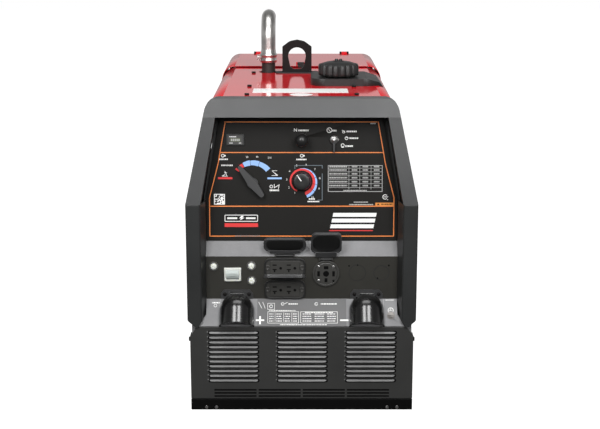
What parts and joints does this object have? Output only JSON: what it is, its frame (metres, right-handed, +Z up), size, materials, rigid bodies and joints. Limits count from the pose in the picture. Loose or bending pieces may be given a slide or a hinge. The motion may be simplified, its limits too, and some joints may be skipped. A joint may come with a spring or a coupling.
{
  "type": "engine driven welder",
  "caption": "Engine driven welder generator in a steel case with a sloping control panel, hooded terminals, lifting eye, exhaust elbow and a lifting engine door.",
  "frame": {"origin": "centre of the footprint, on the floor", "axes": "+X to the operator's right, -Y out of the control panel, +Z up"},
  "size_m": [0.546, 1.0732, 0.922],
  "materials": {
    "charcoal_paint": "satin",
    "bezel_plastic": "satin",
    "black_panel": "matte",
    "silver_panel": "satin",
    "red_paint": "gloss",
    "plated_steel": "satin",
    "black_steel": "satin",
    "soft_rubber": "matte",
    "polished_steel": "gloss",
    "black_plastic": "satin",
    "hood_plastic": "gloss",
    "white_boot": "satin",
    "cast_aluminium": "satin",
    "core_iron": "matte"
  },
  "bodies": {
    "case": {"air_cleaner": "black_plastic", "base_frame": "charcoal_paint", "battery": "black_plastic", "bezel_cheeks": "bezel_plastic", "bezel_upper": "bezel_plastic", "blower_housing": "black_steel", "bulkhead": "charcoal_paint", "choke_bush": "black_plastic", "cover_screws": "plated_steel", "crankcase": "cast_aluminium", "cylinders": "cast_aluminium", "door_hinge": "plated_steel", "duplex_receptacles": "black_plastic", "engine_switch": "black_plastic", "exhaust_clamp": "plated_steel", "exhaust_elbow": "polished_steel", "filler_surround": "black_plastic", "front_louver_panel": "charcoal_paint", "fuel_tank": "black_steel", "generator_frame": "core_iron", "hood_hinges": "black_steel", "hour_meter": "black_plastic", "lift_bail": "black_steel", "lift_eye_gasket": "soft_rubber", "main_breaker": "white_boot", "muffler": "black_steel", "nameplate_panel": "black_panel", "output_panel": "silver_panel", "output_rheostat": "black_plastic", "output_studs": "plated_steel", "push_breakers": "white_boot", "range_switch": "black_plastic", "reactor": "core_iron", "rear_frame": "charcoal_paint", "rear_panel": "charcoal_paint", "rectifier": "cast_aluminium", "roof": "red_paint", "round_receptacle": "black_plastic", "rubber_mounts": "soft_rubber", "side_panel_left": "charcoal_paint", "side_panel_right": "charcoal_paint"},
    "engine_door": {"engine_door": "red_paint"},
    "latch": {"door_latch": "soft_rubber"},
    "choke": {"choke_knob": "black_plastic"},
    "engine_switch_lever": {"engine_switch_lever": "black_plastic"},
    "range_lever": {"range_lever": "black_plastic"},
    "output_dial": {"output_knob": "black_plastic"},
    "rocker": {"breaker_rocker": "white_boot"},
    "button_1": {"breaker_button_1": "white_boot"},
    "button_2": {"breaker_button_2": "white_boot"},
    "button_3": {"breaker_button_3": "white_boot"},
    "upper_lid": {"duplex_lid_upper": "black_plastic"},
    "lower_lid": {"duplex_lid_lower": "black_plastic"},
    "big_lid": {"round_lid": "black_plastic"},
    "left_hood": {"terminal_hood_left": "hood_plastic"},
    "right_hood": {"terminal_hood_right": "hood_plastic"},
    "cap_seal": {"fuel_cap_gasket": "soft_rubber"},
    "cap": {"fuel_cap": "black_plastic"},
    "crank": {"rotor_shaft": "core_iron", "flywheel_fan": "cast_aluminium"}
  },
  "joints": [
    {"name": "engine_door_hinge", "type": "hinge", "parent": "case", "child": "engine_door", "pos_m": [0, 0.5295, 0.761], "axis": [-1, 0, 0], "range_deg": [0, 75]},
    {"name": "latch_lift", "type": "hinge", "parent": "engine_door", "child": "latch", "pos_m": [-0.002, 0.2015, 0.764], "axis": [-1, 0, 0], "range_deg": [0, 40]},
    {"name": "choke_pull", "type": "slide", "parent": "case", "child": "choke", "axis": [0, -0.991, 0.1336], "range_m": [0, 0.035]},
    {"name": "engine_switch_turn", "type": "hinge", "parent": "case", "child": "engine_switch_lever", "pos_m": [0.0793, -0.41987, 0.65095], "axis": [0, -0.991, 0.1336], "range_deg": [-135, 0]},
    {"name": "range_turn", "type": "hinge", "parent": "case", "child": "range_lever", "pos_m": [-0.1177, -0.43371, 0.54828], "axis": [0, -0.991, 0.1336], "range_deg": [-110, 0]},
    {"name": "output_turn", "type": "hinge", "parent": "case", "child": "output_dial", "pos_m": [0, -0.4331, 0.55284], "axis": [0, -0.991, 0.1336], "range_deg": [-190, 90]},
    {"name": "main_breaker_rock", "type": "hinge", "parent": "case", "child": "rocker", "pos_m": [-0.166, -0.462, 0.3313], "axis": [1, 0, 0], "range_deg": [0, 18]},
    {"name": "push_reset_1", "type": "slide", "parent": "case", "child": "button_1", "axis": [0, 1, 0], "range_m": [0, 0.003], "stiffness_N_per_m": 800},
    {"name": "push_reset_2", "type": "slide", "parent": "case", "child": "button_2", "axis": [0, 1, 0], "range_m": [0, 0.003], "stiffness_N_per_m": 800},
    {"name": "push_reset_3", "type": "slide", "parent": "case", "child": "button_3", "axis": [0, 1, 0], "range_m": [0, 0.003], "stiffness_N_per_m": 800},
    {"name": "upper_lid_hinge", "type": "hinge", "parent": "case", "child": "upper_lid", "pos_m": [-0.0405, -0.469, 0.379], "axis": [-1, 0, 0], "range_deg": [-158, 0]},
    {"name": "lower_lid_hinge", "type": "hinge", "parent": "case", "child": "lower_lid", "pos_m": [-0.0405, -0.469, 0.3202], "axis": [-1, 0, 0], "range_deg": [-109, 15]},
    {"name": "big_lid_hinge", "type": "hinge", "parent": "case", "child": "big_lid", "pos_m": [0.0583, -0.469, 0.3698], "axis": [-1, 0, 0], "range_deg": [-153, 0]},
    {"name": "left_hood_hinge", "type": "hinge", "parent": "case", "child": "left_hood", "pos_m": [-0.156, -0.4705, 0.284], "axis": [-1, 0, 0], "range_deg": [0, 80]},
    {"name": "right_hood_hinge", "type": "hinge", "parent": "case", "child": "right_hood", "pos_m": [0.156, -0.4705, 0.284], "axis": [-1, 0, 0], "range_deg": [0, 80]},
    {"name": "cap_lift", "type": "slide", "parent": "case", "child": "cap_seal", "axis": [0, 0, 1], "range_m": [0, 0.08]},
    {"name": "cap_turn", "type": "hinge", "parent": "cap_seal", "child": "cap", "pos_m": [0.094, -0.1765, 0.79], "axis": [0, 0, 1], "range_deg": [0, 120]},
    {"name": "crank_spin", "type": "hinge", "parent": "case", "child": "crank", "pos_m": [0, 0.1435, 0.225], "axis": [0, 1, 0], "continuous": true}
  ]
}
